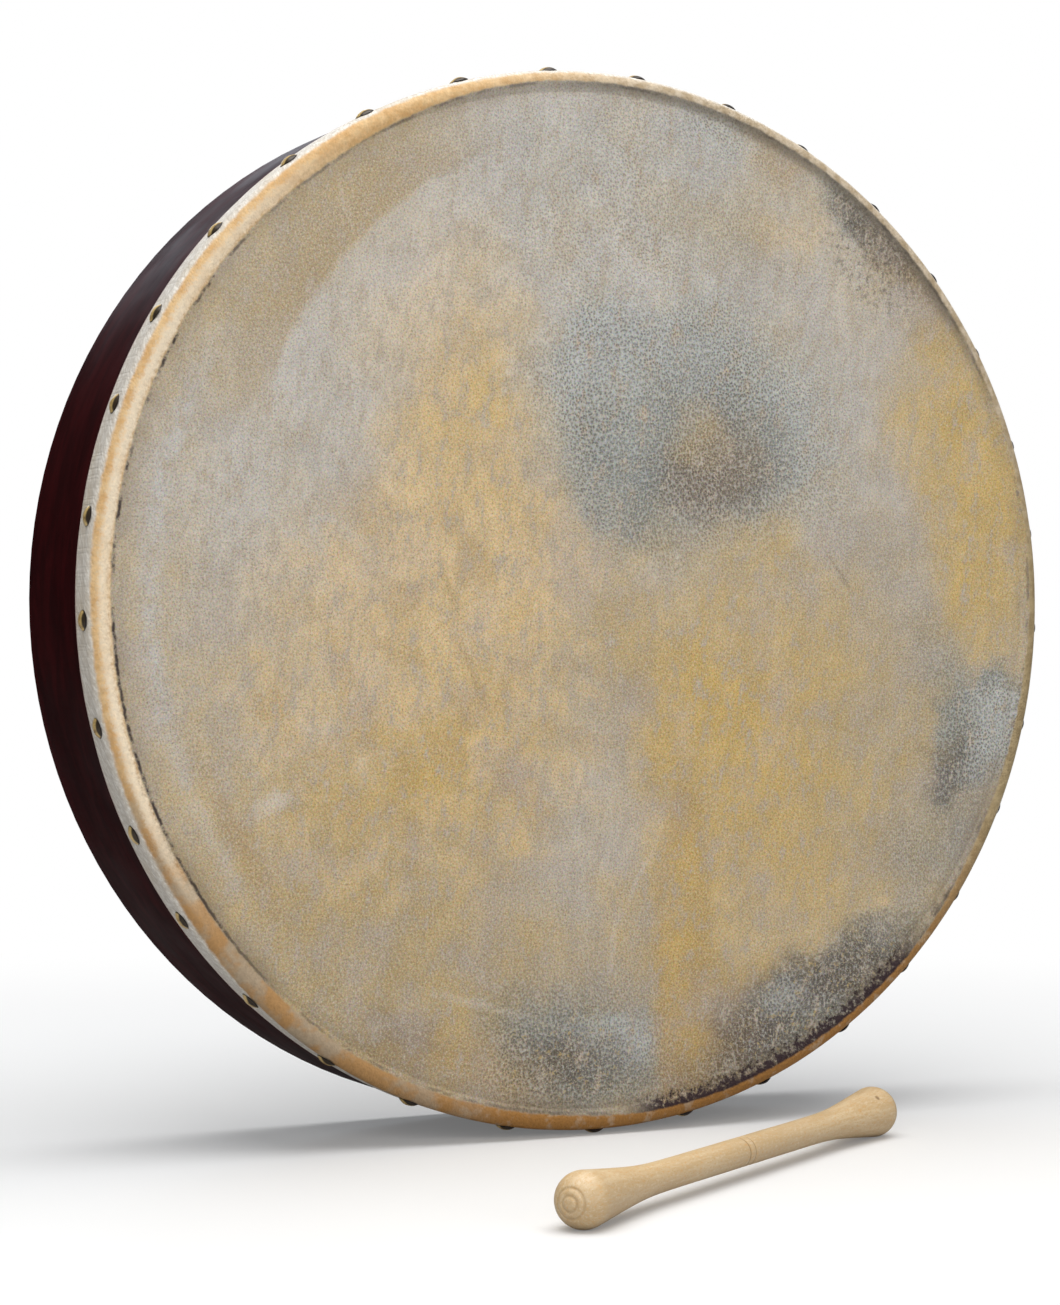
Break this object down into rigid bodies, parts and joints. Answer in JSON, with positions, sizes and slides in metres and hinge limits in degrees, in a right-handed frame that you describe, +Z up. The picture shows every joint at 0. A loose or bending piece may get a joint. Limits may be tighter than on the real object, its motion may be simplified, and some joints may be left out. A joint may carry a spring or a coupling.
{
  "type": "bodhran frame drum",
  "caption": "Shallow round frame drum standing on its rim, goatskin head nailed on with domed brass tacks, crossbars inside the open back, and a double-ended beater on the floor.",
  "frame": {"origin": "on the floor, on the line where the rim stands, under the middle of the shell's depth", "axes": "+Z up, -Y the way the head faces, +Y out of the open back, +X to the right as seen from in front of the head"},
  "size_m": [0.463, 0.2893, 0.4624],
  "materials": {
    "shell_lacquer": "dark burgundy stain under satin lacquer",
    "shell_core": "stained edge of the middle ply",
    "goatskin": "dry untreated goatskin, mottled grey and ochre, pebbled grain",
    "tack_brass": "aged brass-plated domes",
    "crossbar_wood": "dark burgundy stain, worn smooth",
    "beater_wood": "pale turned wood, thin clear finish"
  },
  "bodies": {
    "drum": {"shell_outer_ply": "shell_lacquer", "shell_core_ply": "shell_core", "shell_inner_ply": "shell_lacquer", "skin": "goatskin", "skin_tacks": "tack_brass", "crossbar_upright": "crossbar_wood", "crossbar_level": "crossbar_wood"},
    "beater": {"beater": "beater_wood"}
  },
  "joints": [
    {"name": "beater_lift", "type": "slide", "parent": "drum", "child": "beater", "axis": [0, 0, 1], "range_m": [0, 0.25]}
  ]
}
